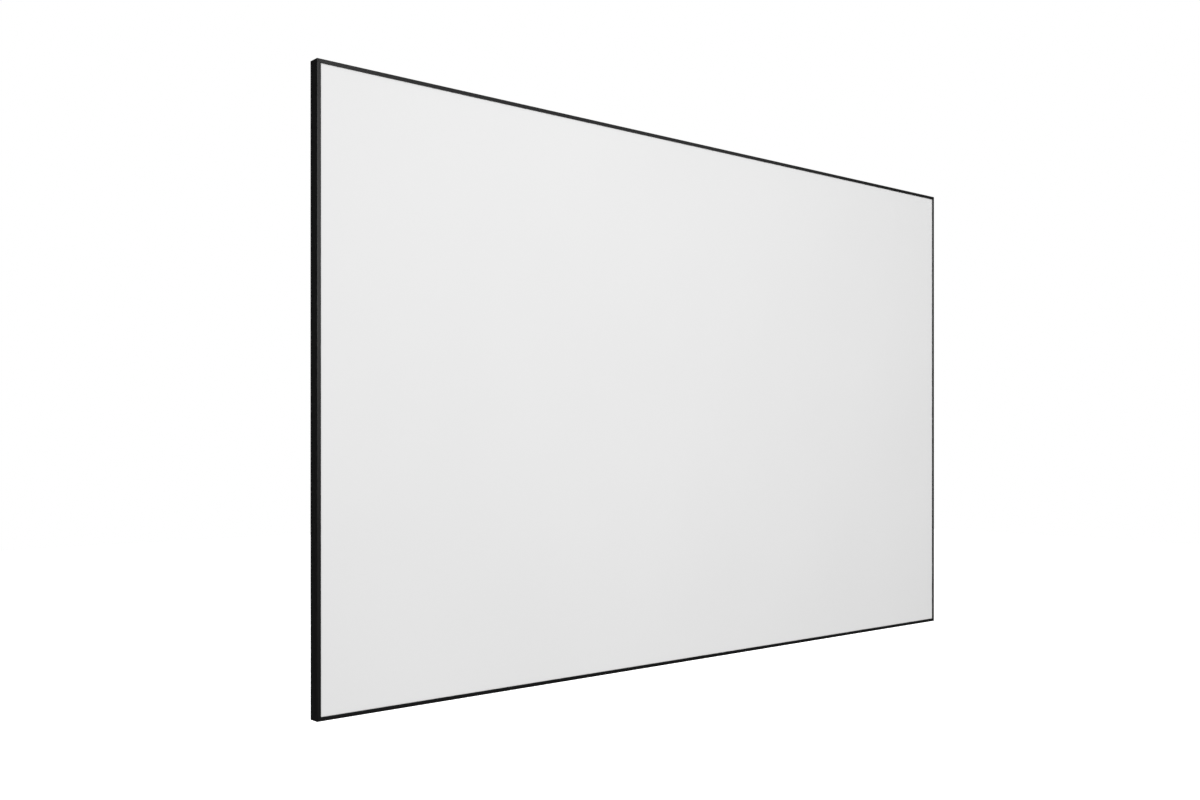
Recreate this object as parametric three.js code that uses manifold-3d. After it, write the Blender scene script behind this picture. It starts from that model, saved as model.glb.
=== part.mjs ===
// Fixed frame projector screen with a thin edge trim: one sheet of matt cloth, wrapped round an aluminium
// frame and drawn tight behind it by rods and hooks. It hangs on two wall brackets, and two more hold its
// foot to the wall.
//
// Millimetres. X runs to the viewer's right, Y into the wall and Z up. The origin is the middle of the
// back, on the wall. Every side of the frame has the same section. It is drawn with two measures: "in", the
// distance inward from the outer edge of the whole screen, and y, which is 0 at the wall and negative
// towards the viewer.

import * as THREE from "three";
import { mergeVertices } from "three/addons/utils/BufferGeometryUtils.js";
import Module from "manifold-3d";

const wasm = await Module();
wasm.setup();

// The picture, 100 inches corner to corner at 16:10, and the frame round it.
const pictureWidth = 2154;
const pictureHeight = 1346;
const lipWidth = 9; // front lip of the trim
const frameDepth = 30; // front of the lip to the wall

// Gaps between pieces.
const clearance = 0.3;
const mitreGap = 0.3;
const seamGap = 0.4; // between the two halves of a long rail or trim

// Edge trim.
const trimWall = 1.4;
const trimRound = 0.8; // radius of the trim's outer edges
const lipChamfer = 0.4;
const trimHookReach = 4.5; // rear edge of the trim, snapped over the back of the rail
const trimHookWall = 1.2;

// Cloth.
const clothThickness = 0.45;
const clothEnd = 13.4; // where the cloth is cut off at the corners, inward from the outer edge
const hemStart = 60; // the hem and its rod begin this far from the outer edge
const hemLoose = 0.25; // play of the rod in its hem

// Rail.
const railWall = 1.5;
const railRound = 1.5; // radius that the cloth is drawn round
const noseWidth = 5; // land at the front that the cloth touches, hidden by the lip
const noseHeight = 2.4;
const noseChamfer = 0.8;
const tubeWidth = 13.5;
const floorDepth = 19; // from the wall to the bottom of the open channel
const slotWidth = 13;
const slotLip = 1.6;
const slotLipWall = 1.2;
const ribHeight = 6.4;
const beadReach = 1.2;
const beadHeight = 1.2;
const channelGap = 4; // between the rib and the inner wall
const hangLipReach = 7;
const wallGap = 0.5; // from the hanging lip to the wall

// Joining plates.
const plateThickness = 3;
const plateLeg = 110;
const spliceLength = 200;
const screwRadius = 2.5;
const screwFromEnd = 12;
const screwPitch = 45;
const screwSides = 12;

// Tension rods and hooks.
const rodRadius = 2;
const rodStandoff = 2.55; // from the tube to the hook's round end
const rodPastHem = 4;
const hookThickness = 1.8;
const hookWidth = 12;
const hookFromHem = 35; // first hook, from the start of the hem
const hooksOnLongSide = 9;
const hooksOnShortSide = 6;
const notchMargin = 2; // cut-out in the hem, wider than the hook by this on each side
const hookMouth = 60; // degrees, where the hook's round end starts, to let the rod in
const hookSteps = 9;

// Support bar.
const barWidth = 36;
const barDepth = 16;
const barWall = 1.5;
const barEndLength = 40; // part of the bar's end piece that goes up inside it
const barTongueLength = 20;
const barTongueWall = 2;
const barPlugRoot = 1; // how far the plug reaches into the head that it grows from

// Wall brackets.
const bracketWidth = 80;
const bracketThickness = 2;
const bracketBend = 1; // inner radius of its bends
const bracketStep = 4.3; // face of the upright leg, from the wall
const bracketDrop = 13; // length of the upright leg
const bracketPlate = 38; // part that is screwed to the wall
const bracketFromMiddle = 540;
const screwSlotWidth = 5.5;
const screwSlotLength = 16;
const screwSlotPitch = 44;

const roundSteps = 4; // straight steps in a quarter circle of a small radius
const rodSides = 16;
const hemSides = 20;
const weldDistance = 1e-4; // points nearer than this are one point

// Worked out from those: the overall size, and the planes of the section that the pieces share.
const overallWidth = pictureWidth + 2 * lipWidth;
const overallHeight = pictureHeight + 2 * lipWidth;

const clothOuterIn = trimWall + clearance;
const railOuterIn = clothOuterIn + clothThickness + clearance;
const clothFrontY = -(frameDepth - trimWall - clearance);
const noseY = clothFrontY + clothThickness + clearance;
const clothBackY = -(trimHookWall + clearance);
const railBackY = clothBackY - clothThickness - clearance;
const railFrontY = noseY + noseHeight;

const tubeInnerIn = railOuterIn + tubeWidth;
const floorY = -floorDepth;
const ribIn = tubeInnerIn + slotWidth;
const innerWallIn = ribIn + railWall + channelGap;
const railInnerIn = innerWallIn + railWall;
const hangLipIn = railInnerIn + hangLipReach;
const hangLipBackY = -wallGap;
const hangLipFrontY = hangLipBackY - railWall;
const slotTopY = floorY + plateThickness + 2 * clearance;
const beadTopY = floorY + ribHeight;
const beadIn = ribIn + railWall + beadReach;

const hookRadius = rodRadius + clearance + hookThickness; // outside of the hook's round end
const rodIn = tubeInnerIn + rodStandoff + hookRadius;
const rodY = beadTopY + clearance + hookRadius;
const hemRadius = rodRadius + hemLoose + clothThickness; // outside of the hem

const finishes = {
  trim: new THREE.MeshStandardMaterial({ color: 0x1b1b1c, roughness: 0.42, metalness: 0.6 }),
  rail: new THREE.MeshStandardMaterial({ color: 0x17171a, roughness: 0.6, metalness: 0.5 }),
  cloth: new THREE.MeshStandardMaterial({ color: 0xe6e6e6, roughness: 0.95, metalness: 0 }),
  zinc: new THREE.MeshStandardMaterial({ color: 0xa7aaac, roughness: 0.4, metalness: 0.9 }),
  glassFibre: new THREE.MeshStandardMaterial({ color: 0xd9d3b8, roughness: 0.5, metalness: 0 }),
  plastic: new THREE.MeshStandardMaterial({ color: 0x141414, roughness: 0.55, metalness: 0 }),
};

// The four sides. Each is drawn as if it were the top one and turned about Y into place: "reach" is how far
// its outer edge is from the origin, and "run" its full length. The halves' names go by where they end up.
const sides = [
  { name: "top", turn: 0, reach: overallHeight / 2, run: overallWidth, halves: ["left", "right"] },
  { name: "right", turn: Math.PI / 2, reach: overallWidth / 2, run: overallHeight },
  { name: "bottom", turn: Math.PI, reach: overallHeight / 2, run: overallWidth, halves: ["right", "left"] },
  { name: "left", turn: -Math.PI / 2, reach: overallWidth / 2, run: overallHeight },
];

// Points of an arc, angles in degrees, from the first to the last.
function arc(centreX, centreY, radius, from, to, steps = roundSteps) {
  return Array.from({ length: steps + 1 }, (_, i) => {
    const angle = THREE.MathUtils.degToRad(from + ((to - from) * i) / steps);
    return [centreX + radius * Math.cos(angle), centreY + radius * Math.sin(angle)];
  });
}

// A whole circle, without its first point twice.
function circle(centreX, centreY, radius, count) {
  return arc(centreX, centreY, radius, 0, 360 - 360 / count, count - 1);
}

function shapeOf(points, holes = []) {
  const vectors = (list) => list.map(([x, y]) => new THREE.Vector2(x, y));
  const shape = new THREE.Shape(vectors(points));
  shape.holes = holes.map((hole) => new THREE.Path(vectors(hole)));
  return shape;
}

// The outline of a strip of even thickness that follows a path, with square ends and mitred bends.
function stripOf(path, thickness) {
  const points = path.map(([x, y]) => new THREE.Vector2(x, y));
  const offsetBy = (distance) =>
    points.map((point, i) => {
      const before = point.clone().sub(points[i - 1] ?? point).normalize();
      const after = (points[i + 1] ?? point).clone().sub(point).normalize();
      const along = before.clone().add(after).normalize();
      const normal = new THREE.Vector2(-along.y, along.x);
      const spread = i === 0 || i === points.length - 1 ? 1 : along.dot(after);
      return [point.x + (normal.x * distance) / spread, point.y + (normal.y * distance) / spread];
    });
  return [...offsetBy(thickness / 2), ...offsetBy(-thickness / 2).reverse()];
}

// A section in (in, y) drawn out along a side. "start" and "end" give the cut at each end, as a place along
// the side for each distance inward, so that a mitre is a cut that moves with it.
function barOf(section, side, start, end) {
  const geometry = new THREE.ExtrudeGeometry(section, { depth: 1, bevelEnabled: false });
  const position = geometry.getAttribute("position");
  for (let i = 0; i < position.count; i++) {
    const inward = position.getX(i);
    const along = position.getZ(i) > 0.5 ? end(inward) : start(inward);
    position.setXYZ(i, along, position.getY(i), side.reach - inward);
  }
  return geometry;
}

const squareAt = (place) => () => place;
const mitreStart = (side, gap = 0) => (inward) => -side.run / 2 + inward + gap / Math.SQRT2;
const mitreEnd = (side, gap = 0) => (inward) => side.run / 2 - inward - gap / Math.SQRT2;

// A flat piece drawn in (x, down) and given a thickness along Y, from its front face back.
function plateOf(section, thickness) {
  return new THREE.ExtrudeGeometry(section, { depth: thickness, bevelEnabled: false }).rotateX(-Math.PI / 2);
}

function boxBetween(low, high) {
  const size = high.map((value, i) => value - low[i]);
  const middle = high.map((value, i) => (value + low[i]) / 2);
  return new THREE.BoxGeometry(...size).translate(...middle);
}

// Boolean work: to a solid and back to a geometry.
function solidOf(geometry) {
  const bare = geometry.index ? geometry.toNonIndexed() : geometry.clone();
  bare.deleteAttribute("normal");
  bare.deleteAttribute("uv");
  const merged = mergeVertices(bare, weldDistance);
  return new wasm.Manifold(
    new wasm.Mesh({
      numProp: 3,
      vertProperties: merged.getAttribute("position").array,
      triVerts: new Uint32Array(merged.index.array),
    }),
  );
}

function geometryOf(solid) {
  const mesh = solid.getMesh();
  const geometry = new THREE.BufferGeometry();
  geometry.setAttribute("position", new THREE.BufferAttribute(mesh.vertProperties, mesh.numProp));
  geometry.setIndex(new THREE.BufferAttribute(mesh.triVerts, 1));
  return geometry;
}

function piece(name, geometry, finish) {
  const mesh = new THREE.Mesh(geometry, finish);
  mesh.name = name;
  return mesh;
}

// One-piece sides are mitred at both ends. Long sides are two halves with a square seam at the middle.
function railPieces(side, section, name, finish) {
  if (!side.halves) {
    const whole = barOf(section, side, mitreStart(side, mitreGap), mitreEnd(side, mitreGap));
    return [piece(`${name}_${side.name}`, whole, finish)];
  }
  const first = barOf(section, side, mitreStart(side, mitreGap), squareAt(-seamGap / 2));
  const second = barOf(section, side, squareAt(seamGap / 2), mitreEnd(side, mitreGap));
  return [first, second].map((half, i) => piece(`${name}_${side.name}_${side.halves[i]}`, half, finish));
}

// Edge trim: a front lip, the visible side of the screen, and a hook that snaps over the back.
function trimSection() {
  return shapeOf([
    ...arc(trimRound, -frameDepth + trimRound, trimRound, 180, 270),
    [lipWidth - lipChamfer, -frameDepth],
    [lipWidth, -frameDepth + lipChamfer],
    [lipWidth, -frameDepth + trimWall],
    [trimWall, -frameDepth + trimWall],
    [trimWall, -trimHookWall],
    [trimHookReach, -trimHookWall],
    [trimHookReach, 0],
    ...arc(trimRound, -trimRound, trimRound, 90, 180),
  ]);
}

// Rail: the closed tube with its nose, then the open channel with a slot for the joining plates, a rib for
// the hooks, the inner wall and the hanging lip.
function railSection() {
  const innerTube = [
    [railOuterIn + railWall, railBackY - railWall],
    [tubeInnerIn - railWall, railBackY - railWall],
    [tubeInnerIn - railWall, railFrontY + railWall],
    [railOuterIn + railWall, railFrontY + railWall],
  ];
  return shapeOf(
    [
      ...arc(railOuterIn + railRound, noseY + railRound, railRound, 180, 270),
      [railOuterIn + noseWidth, noseY],
      [railOuterIn + noseWidth + noseChamfer, noseY + noseChamfer],
      [railOuterIn + noseWidth + noseChamfer, railFrontY],
      [tubeInnerIn, railFrontY],
      [tubeInnerIn, floorY - railWall],
      [railInnerIn, floorY - railWall],
      [railInnerIn, hangLipFrontY],
      [hangLipIn, hangLipFrontY],
      [hangLipIn, hangLipBackY],
      [innerWallIn, hangLipBackY],
      [innerWallIn, floorY],
      [ribIn + railWall, floorY],
      [ribIn + railWall, beadTopY - beadHeight],
      [beadIn, beadTopY - beadHeight],
      [beadIn, beadTopY],
      [ribIn, beadTopY],
      [ribIn, slotTopY + slotLipWall],
      [ribIn - slotLip, slotTopY + slotLipWall],
      [ribIn - slotLip, slotTopY],
      [ribIn, slotTopY],
      [ribIn, floorY],
      [tubeInnerIn, floorY],
      [tubeInnerIn, slotTopY],
      [tubeInnerIn + slotLip, slotTopY],
      [tubeInnerIn + slotLip, slotTopY + slotLipWall],
      [tubeInnerIn, slotTopY + slotLipWall],
      ...arc(tubeInnerIn - railRound, railBackY - railRound, railRound, 0, 90),
      ...arc(railOuterIn + railRound, railBackY - railRound, railRound, 90, 180),
    ],
    [innerTube],
  );
}

// Joining plates lie on the floor of the slot. The corner plate is an L, drawn from the frame's outer
// corner.
const plateOuterIn = tubeInnerIn + clearance;
const plateInnerIn = ribIn - clearance;
const plateMiddleIn = (plateOuterIn + plateInnerIn) / 2;
const plateFrontY = floorY + clearance;

function cornerPlate() {
  const legEnd = plateOuterIn + plateLeg;
  const outline = [
    [plateOuterIn, plateOuterIn],
    [legEnd, plateOuterIn],
    [legEnd, plateInnerIn],
    [plateInnerIn, plateInnerIn],
    [plateInnerIn, legEnd],
    [plateOuterIn, legEnd],
  ];
  const places = [legEnd - screwFromEnd, legEnd - screwFromEnd - screwPitch];
  const holes = places.flatMap((place) => [
    circle(place, plateMiddleIn, screwRadius, screwSides),
    circle(plateMiddleIn, place, screwRadius, screwSides),
  ]);
  return plateOf(shapeOf(outline, holes), plateThickness);
}

function splicePlate(side) {
  const half = spliceLength / 2;
  const places = [half - screwFromEnd, half - screwFromEnd - screwPitch];
  const outline = [
    [-half, plateOuterIn],
    [half, plateOuterIn],
    [half, plateInnerIn],
    [-half, plateInnerIn],
  ];
  const holes = places.flatMap((place) => [
    circle(place, plateMiddleIn, screwRadius, screwSides),
    circle(-place, plateMiddleIn, screwRadius, screwSides),
  ]);
  return plateOf(shapeOf(outline, holes), plateThickness).translate(0, plateFrontY, side.reach);
}

// The cloth goes over the nose, back along the outside of the rail and round its back edge. There it slants
// into the channel and ends in a hem round the tension rod.
const clothMiddle = clothThickness / 2;
const clothRound = railRound + clearance + clothMiddle;

function clothRim() {
  const frontY = clothFrontY + clothMiddle;
  const backY = clothBackY - clothMiddle;
  const sideIn = clothOuterIn + clothMiddle;
  const path = [
    [clothEnd, frontY],
    ...arc(sideIn + clothRound, frontY + clothRound, clothRound, 270, 180),
    ...arc(sideIn + clothRound, backY - clothRound, clothRound, 180, 90),
    [clothEnd, backY],
  ];
  return stripOf(path, clothThickness);
}

// A closed ring of that section all round the frame, mitred at its four corners.
function rimRing(outline) {
  const corners = [[-1, 1], [1, 1], [1, -1], [-1, -1]];
  const points = corners.flatMap(([across, up]) =>
    outline.map(([inward, y]) => [
      across * (overallWidth / 2 - inward),
      y,
      up * (overallHeight / 2 - inward),
    ]),
  );
  const count = outline.length;
  const triangles = [];
  for (let corner = 0; corner < corners.length; corner++) {
    const here = corner * count;
    const next = ((corner + 1) % corners.length) * count;
    for (let i = 0; i < count; i++) {
      const j = (i + 1) % count;
      triangles.push(here + i, next + j, here + j, here + i, next + i, next + j);
    }
  }
  const geometry = new THREE.BufferGeometry();
  geometry.setAttribute("position", new THREE.Float32BufferAttribute(points.flat(), 3));
  geometry.setIndex(triangles);
  return geometry;
}

// The hem's section: a strip that leaves the tube's rear edge at a tangent to the hem's loop, and the loop.
function hemSection() {
  const turnIn = tubeInnerIn - railRound;
  const turnY = railBackY - railRound;
  const turnOuter = railRound + clearance + clothThickness;
  const across = rodIn - turnIn;
  const down = rodY - turnY;
  const apart = Math.hypot(across, down);
  const lean = Math.atan2(down, across) + Math.asin((hemRadius - turnOuter) / apart);
  const leanDegrees = THREE.MathUtils.radToDeg(lean);
  const join = THREE.MathUtils.radToDeg(Math.asin((hemRadius - clothThickness) / hemRadius));
  const outer = [
    [clothEnd - clothRound, clothBackY],
    ...arc(turnIn, turnY, turnOuter, 90, leanDegrees + 90),
    ...arc(rodIn, rodY, hemRadius, leanDegrees + 90, leanDegrees + 180 - join - 360, hemSides),
    ...arc(turnIn, turnY, turnOuter - clothThickness, leanDegrees + 90, 90),
    [clothEnd - clothRound, clothBackY - clothThickness],
  ];
  return shapeOf(outer, [circle(rodIn, rodY, hemRadius - clothThickness, hemSides)]);
}

function hookPlaces(side) {
  const count = side.halves ? hooksOnLongSide : hooksOnShortSide;
  const first = -side.run / 2 + hemStart + hookFromHem;
  return Array.from({ length: count }, (_, i) => first - (2 * first * i) / (count - 1));
}

function cloth() {
  const sheet = boxBetween(
    [-overallWidth / 2 + railOuterIn + railRound, clothFrontY, -overallHeight / 2 + railOuterIn + railRound],
    [
      overallWidth / 2 - railOuterIn - railRound,
      clothFrontY + clothThickness,
      overallHeight / 2 - railOuterIn - railRound,
    ],
  );
  let whole = solidOf(sheet).add(solidOf(rimRing(clothRim())));
  for (const side of sides) {
    const hemEnd = side.run / 2 - hemStart;
    let hem = solidOf(barOf(hemSection(), side, squareAt(-hemEnd), squareAt(hemEnd)));
    for (const place of hookPlaces(side)) {
      const half = hookWidth / 2 + notchMargin;
      const notch = boxBetween(
        [place - half, floorY, side.reach - railInnerIn],
        [place + half, 0, side.reach - rodIn + hookRadius + clearance],
      );
      hem = hem.subtract(solidOf(notch));
    }
    whole = whole.add(hem.rotate([0, THREE.MathUtils.radToDeg(side.turn), 0]));
  }
  return geometryOf(whole);
}

function tensionRod(side) {
  const length = side.run - 2 * (hemStart - rodPastHem);
  return new THREE.CylinderGeometry(rodRadius, rodRadius, length, rodSides)
    .rotateZ(Math.PI / 2)
    .translate(0, rodY, side.reach - rodIn);
}

// The hook goes round the rod from outside, passes over the rib and turns back under its bead.
function hookSection() {
  const middle = hookThickness / 2;
  const legIn = beadIn + clearance + middle;
  const footY = beadTopY - beadHeight - clearance - middle;
  const path = [
    ...arc(rodIn, rodY, hookRadius - middle, hookMouth, 270, hookSteps),
    [legIn, rodY - hookRadius + middle],
    [legIn, footY],
    [ribIn + railWall + clearance, footY],
  ];
  return shapeOf(stripOf(path, hookThickness));
}

// Support bar: a rectangular tube behind the cloth, and an end piece that plugs into it and grips the rail
// between a tongue in front and the hanging lip behind.
const barEndBackY = hangLipFrontY - clearance;
const barEndLow = (side) => side.reach - hangLipIn - clearance;

function supportBar(side) {
  const half = barWidth / 2;
  const top = barEndLow(side) - clearance;
  const outer = [[-half, -barDepth], [half, -barDepth], [half, 0], [-half, 0]];
  const inner = [
    [-half + barWall, -barDepth + barWall],
    [half - barWall, -barDepth + barWall],
    [half - barWall, -barWall],
    [-half + barWall, -barWall],
  ];
  return new THREE.ExtrudeGeometry(shapeOf(outer, [inner]), { depth: 2 * top, bevelEnabled: false })
    .translate(0, 0, -top);
}

function barEnd(side) {
  const half = barWidth / 2;
  const low = barEndLow(side);
  const tongueBackY = floorY - railWall - clearance;
  const tongueFrontY = tongueBackY - barTongueWall;
  const headTop = side.reach - railInnerIn - clearance;
  const inset = barWall + clearance;
  const head = boxBetween([-half, tongueFrontY, low], [half, barEndBackY, headTop]);
  const tongue = boxBetween([-half, tongueFrontY, low], [half, tongueBackY, low + barTongueLength]);
  const plug = boxBetween(
    [-half + inset, -barDepth + inset, low - barEndLength],
    [half - inset, barEndBackY, low + barPlugRoot],
  );
  return geometryOf(solidOf(head).add(solidOf(tongue)).add(solidOf(plug)));
}

// Wall bracket: sheet steel bent to a Z. The plate is screwed to the wall, and the frame's inner wall
// stands on the end of the other leg, with its hanging lip dropped in behind.
function bracketSection() {
  const middle = bracketThickness / 2;
  const bend = bracketBend + middle;
  const legY = -bracketStep - middle;
  const top = railInnerIn + clearance;
  const step = top + bracketDrop;
  const path = [
    [top, legY],
    ...arc(step - bend, legY + bend, bend, -90, 0),
    ...arc(step + bend, -middle - bend, bend, 180, 90),
    [step + bracketPlate, -middle],
  ];
  return shapeOf(stripOf(path, bracketThickness));
}

const bracketPlateIn = railInnerIn + clearance + bracketDrop + bracketPlate / 2; // line of the screw slots

function wallBracket(side) {
  const half = bracketWidth / 2;
  const straight = (screwSlotLength - screwSlotWidth) / 2;
  const down = bracketPlateIn - side.reach;
  let plate = solidOf(barOf(bracketSection(), side, squareAt(-half), squareAt(half)));
  for (const middle of [-screwSlotPitch / 2, screwSlotPitch / 2]) {
    const outline = [
      ...arc(middle + straight, down, screwSlotWidth / 2, -90, 90, 2 * roundSteps),
      ...arc(middle - straight, down, screwSlotWidth / 2, 90, 270, 2 * roundSteps),
    ];
    const slot = plateOf(shapeOf(outline), 3 * bracketThickness).translate(0, -2 * bracketThickness, 0);
    plate = plate.subtract(solidOf(slot));
  }
  return geometryOf(plate);
}

// Everything put together.
const screen = new THREE.Group();
screen.name = "fixed_frame_projector_screen";

for (const side of sides) {
  const group = new THREE.Group();
  group.rotation.y = side.turn;
  group.add(...railPieces(side, trimSection(), "edge_trim", finishes.trim));
  group.add(...railPieces(side, railSection(), "frame_rail", finishes.rail));
  group.add(piece(`tension_rod_${side.name}`, tensionRod(side), finishes.glassFibre));

  const hook = barOf(hookSection(), side, squareAt(-hookWidth / 2), squareAt(hookWidth / 2));
  hookPlaces(side).forEach((place, i) => {
    const mesh = piece(`tension_hook_${side.name}_${i + 1}`, hook, finishes.plastic);
    mesh.position.x = place;
    group.add(mesh);
  });

  if (side.halves) {
    group.add(piece(`splice_plate_${side.name}`, splicePlate(side), finishes.zinc));
    group.add(piece(`support_bar_end_${side.name}`, barEnd(side), finishes.plastic));
    for (const [i, half] of side.halves.entries()) {
      const mesh = piece(`wall_bracket_${side.name}_${half}`, wallBracket(side), finishes.zinc);
      mesh.position.x = i === 0 ? -bracketFromMiddle : bracketFromMiddle;
      group.add(mesh);
    }
  }
  screen.add(group);
}

const corners = [
  { name: "top_left", turn: 0, across: -1, up: 1 },
  { name: "top_right", turn: Math.PI / 2, across: 1, up: 1 },
  { name: "bottom_right", turn: Math.PI, across: 1, up: -1 },
  { name: "bottom_left", turn: -Math.PI / 2, across: -1, up: -1 },
];
for (const corner of corners) {
  const mesh = piece(`corner_plate_${corner.name}`, cornerPlate(), finishes.zinc);
  mesh.rotation.y = corner.turn;
  mesh.position.set((corner.across * overallWidth) / 2, plateFrontY, (corner.up * overallHeight) / 2);
  screen.add(mesh);
}

screen.add(piece("support_bar", supportBar(sides[0]), finishes.rail));
screen.add(piece("projection_cloth", cloth(), finishes.cloth));

export default screen;
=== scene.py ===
# Fixed frame projector screen with a thin edge trim. One sheet of matt white cloth is drawn over a black
# aluminium frame and held tight behind it by rods and hooks. The pieces follow in the order in which such a
# screen is put together. Lengths are in metres; X runs to the viewer's right, Y into the wall and Z up.

import math

import bmesh
import bpy
from mathutils import Matrix, Vector


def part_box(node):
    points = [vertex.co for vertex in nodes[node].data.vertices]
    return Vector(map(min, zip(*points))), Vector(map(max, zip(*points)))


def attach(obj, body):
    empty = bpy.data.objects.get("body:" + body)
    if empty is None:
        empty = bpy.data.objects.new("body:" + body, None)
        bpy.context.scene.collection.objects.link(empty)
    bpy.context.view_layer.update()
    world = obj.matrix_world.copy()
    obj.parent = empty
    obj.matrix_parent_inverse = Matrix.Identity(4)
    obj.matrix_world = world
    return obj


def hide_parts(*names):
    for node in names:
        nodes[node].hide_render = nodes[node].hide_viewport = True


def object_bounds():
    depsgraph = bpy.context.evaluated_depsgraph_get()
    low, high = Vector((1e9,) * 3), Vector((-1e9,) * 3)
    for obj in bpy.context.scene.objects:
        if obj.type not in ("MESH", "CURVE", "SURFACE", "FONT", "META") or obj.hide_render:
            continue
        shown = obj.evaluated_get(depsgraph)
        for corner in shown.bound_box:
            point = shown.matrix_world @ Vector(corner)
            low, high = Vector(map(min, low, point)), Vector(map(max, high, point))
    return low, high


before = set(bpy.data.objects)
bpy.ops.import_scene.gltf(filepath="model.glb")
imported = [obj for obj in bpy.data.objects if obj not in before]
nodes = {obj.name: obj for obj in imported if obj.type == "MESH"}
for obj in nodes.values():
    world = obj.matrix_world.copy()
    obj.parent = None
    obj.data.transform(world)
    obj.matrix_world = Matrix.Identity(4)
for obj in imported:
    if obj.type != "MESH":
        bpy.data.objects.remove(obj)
cad_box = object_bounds()

# The view. The camera stands to the left of the screen, a little under its middle, and looks level past it
# at forty degrees. A small shift keeps the uprights upright.
bpy.ops.object.select_all(action="DESELECT")
bpy.ops.object.camera_add(
    location=(-2.245, -2.2923, -0.1078), rotation=(math.pi / 2, 0, math.radians(-40.33))
)
camera = bpy.context.object
camera.name = "view"
camera.data.lens = 36.17
camera.data.shift_y = 0.0354
bpy.context.scene.camera = camera
bpy.context.scene.view_settings.view_transform = "Standard"


# The studio. A pale floor lies some way under the hanging screen, in a white room. A large soft lamp stands
# high on the left in front, a lower one on the right puts the long highlight on the trim, and two more
# light the back.
def nodes_of(material):
    """The material's nodes and a short way to link two sockets."""
    material.use_nodes = True
    tree = material.node_tree
    tree.nodes.clear()
    return tree.nodes, tree.links.new


def studio_room():
    """White to the camera, brighter from above, and dark to gloss but for its top, bottom and far right."""
    world = bpy.data.worlds.new("studio_room")
    bpy.context.scene.world = world
    node, link = nodes_of(world)
    place = node.new("ShaderNodeTexCoord")
    parts = node.new("ShaderNodeSeparateXYZ")
    link(place.outputs["Generated"], parts.inputs[0])
    steepness = node.new("ShaderNodeMath")
    steepness.operation = "ABSOLUTE"
    link(parts.outputs["Z"], steepness.inputs[0])
    behind = node.new("ShaderNodeVectorMath")
    behind.operation = "DOT_PRODUCT"
    behind.inputs[1].default_value = (0.75, 0.66, 0)
    link(place.outputs["Generated"], behind.inputs[0])

    def rise(measure, start, stop, low, high):
        """A smooth rise of strength from low to high."""
        ramp = node.new("ShaderNodeMapRange")
        ramp.interpolation_type = "SMOOTHSTEP"
        ramp.inputs["From Min"].default_value = start
        ramp.inputs["From Max"].default_value = stop
        ramp.inputs["To Min"].default_value = low
        ramp.inputs["To Max"].default_value = high
        link(measure, ramp.inputs["Value"])
        return ramp.outputs[0]

    brightest = node.new("ShaderNodeMath")
    brightest.operation = "MAXIMUM"
    above_and_below = rise(steepness.outputs[0], start=0.42, stop=0.85, low=0.008, high=0.8)
    far_right = rise(behind.outputs["Value"], start=0.35, stop=0.8, low=0.008, high=0.7)
    light = rise(parts.outputs["Z"], start=-0.35, stop=0.75, low=0.39, high=0.80)
    link(above_and_below, brightest.inputs[0])
    link(far_right, brightest.inputs[1])
    backgrounds = {}
    for name, strength in (("seen", None), ("light", light), ("reflected", brightest.outputs[0])):
        backgrounds[name] = node.new("ShaderNodeBackground")
        backgrounds[name].inputs["Color"].default_value = (1, 1, 1, 1)
        if strength:
            link(strength, backgrounds[name].inputs["Strength"])
    rays = node.new("ShaderNodeLightPath")
    glossy = node.new("ShaderNodeMixShader")
    seen = node.new("ShaderNodeMixShader")
    output = node.new("ShaderNodeOutputWorld")
    link(rays.outputs["Is Glossy Ray"], glossy.inputs[0])
    link(backgrounds["light"].outputs[0], glossy.inputs[1])
    link(backgrounds["reflected"].outputs[0], glossy.inputs[2])
    link(rays.outputs["Is Camera Ray"], seen.inputs[0])
    link(glossy.outputs[0], seen.inputs[1])
    link(backgrounds["seen"].outputs[0], seen.inputs[2])
    link(seen.outputs[0], output.inputs[0])


def pale_floor():
    """A floor that is seen from above only, and neither shades the screen nor shows in its gloss."""
    bpy.ops.mesh.primitive_plane_add(size=24, location=(0, 0, -1.3))
    floor = bpy.context.object
    floor.name = "floor"
    floor.visible_diffuse = False
    floor.visible_glossy = False
    material = bpy.data.materials.new("pale_floor")
    node, link = nodes_of(material)
    top = node.new("ShaderNodeBsdfPrincipled")
    top.inputs["Base Color"].default_value = (0.9, 0.9, 0.9, 1)
    top.inputs["Roughness"].default_value = 0.9
    top.inputs["Emission Color"].default_value = (1, 1, 1, 1)
    top.inputs["Emission Strength"].default_value = 0.6
    under = node.new("ShaderNodeBsdfTransparent")
    side = node.new("ShaderNodeNewGeometry")
    mix = node.new("ShaderNodeMixShader")
    output = node.new("ShaderNodeOutputMaterial")
    link(side.outputs["Backfacing"], mix.inputs[0])
    link(top.outputs[0], mix.inputs[1])
    link(under.outputs[0], mix.inputs[2])
    link(mix.outputs[0], output.inputs[0])
    floor.data.materials.append(material)


def soft_lamp(name, place, target, size, power):
    """A rectangular lamp turned to its target."""
    bpy.ops.object.light_add(type="AREA", location=place)
    lamp = bpy.context.object
    lamp.name = name
    lamp.rotation_euler = (Vector(target) - Vector(place)).to_track_quat("-Z", "Y").to_euler()
    lamp.data.shape = "RECTANGLE"
    lamp.data.size, lamp.data.size_y = size
    lamp.data.energy = power
    lamp.visible_camera = False


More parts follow.
